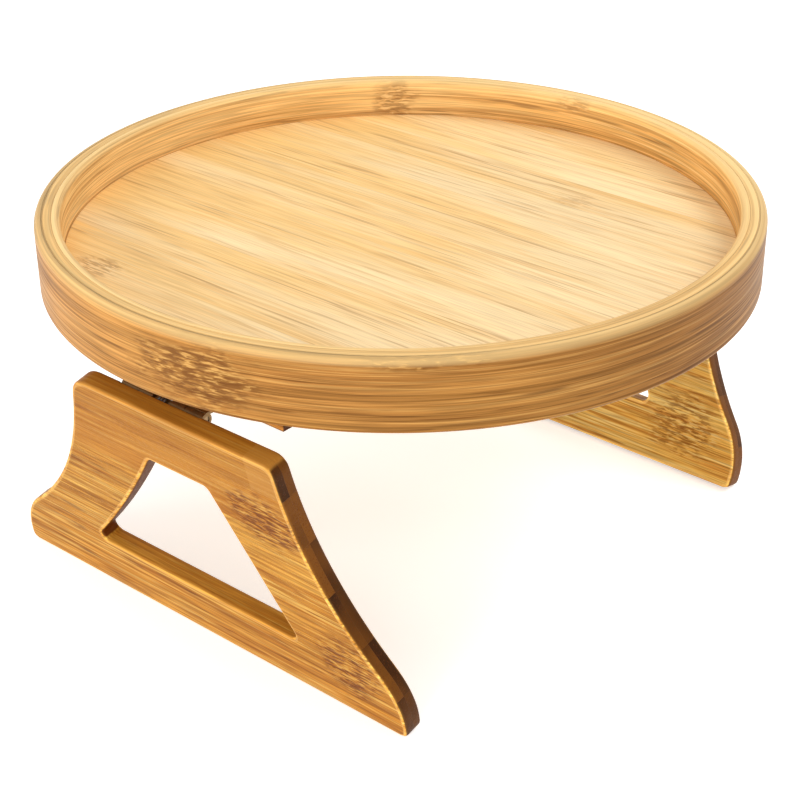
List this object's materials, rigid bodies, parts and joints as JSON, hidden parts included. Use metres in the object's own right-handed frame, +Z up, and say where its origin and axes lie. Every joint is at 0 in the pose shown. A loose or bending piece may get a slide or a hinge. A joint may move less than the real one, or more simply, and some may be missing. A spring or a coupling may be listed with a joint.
{
  "type": "sofa arm tray",
  "caption": "Round bamboo tray with a raised rim, on spring-hinged side leaves with windows that hang over a sofa arm and clamp it.",
  "frame": {"origin": "on the floor below the middle of the round tray, where the leaves' bottom edges stand", "axes": "+Z up, +X along the hinge lines towards the leaves' shorter flare, +Y from the near leaf to the far leaf"},
  "size_m": [0.3, 0.3, 0.1586],
  "materials": {
    "board_bamboo": "pale strip-laminated bamboo, clear satin varnish",
    "rim_bamboo": "bent bamboo strip, clear satin varnish",
    "leaf_bamboo": "carbonised two-ply bamboo board, clear satin varnish",
    "batten_bamboo": "solid bamboo bar, clear satin varnish",
    "hinge_steel": "pressed steel, dark bronze plating",
    "pin_steel": "drawn rod, dark bronze plating",
    "spring_steel": "oiled spring wire",
    "screw_steel": "countersunk screws, dark bronze plating"
  },
  "bodies": {
    "tray": {"base_board": "board_bamboo", "outer_hoop": "rim_bamboo", "middle_hoop": "rim_bamboo", "inner_hoop": "rim_bamboo", "near_batten": "batten_bamboo", "far_batten": "batten_bamboo", "near_fixed_plate": "hinge_steel", "far_fixed_plate": "hinge_steel", "near_hinge_pin": "pin_steel", "far_hinge_pin": "pin_steel", "near_spring": "spring_steel", "far_spring": "spring_steel", "batten_screws": "screw_steel", "fixed_plate_screws": "screw_steel"},
    "near_side": {"near_leaf": "leaf_bamboo", "near_swing_plate": "hinge_steel", "near_swing_plate_screws": "screw_steel"},
    "far_side": {"far_leaf": "leaf_bamboo", "far_swing_plate": "hinge_steel", "far_swing_plate_screws": "screw_steel"}
  },
  "joints": [
    {"name": "near_leaf_hinge", "type": "hinge", "parent": "tray", "child": "near_side", "pos_m": [0, -0.13622, 0.11737], "axis": [-1, 0, 0], "range_deg": [-76.6, 38.4], "stiffness_Nm_per_rad": 0.5, "deforming": ["near_spring"]},
    {"name": "far_leaf_hinge", "type": "hinge", "parent": "tray", "child": "far_side", "pos_m": [0, 0.13622, 0.11737], "axis": [1, 0, 0], "range_deg": [-76.6, 38.4], "stiffness_Nm_per_rad": 0.5, "deforming": ["far_spring"]}
  ]
}
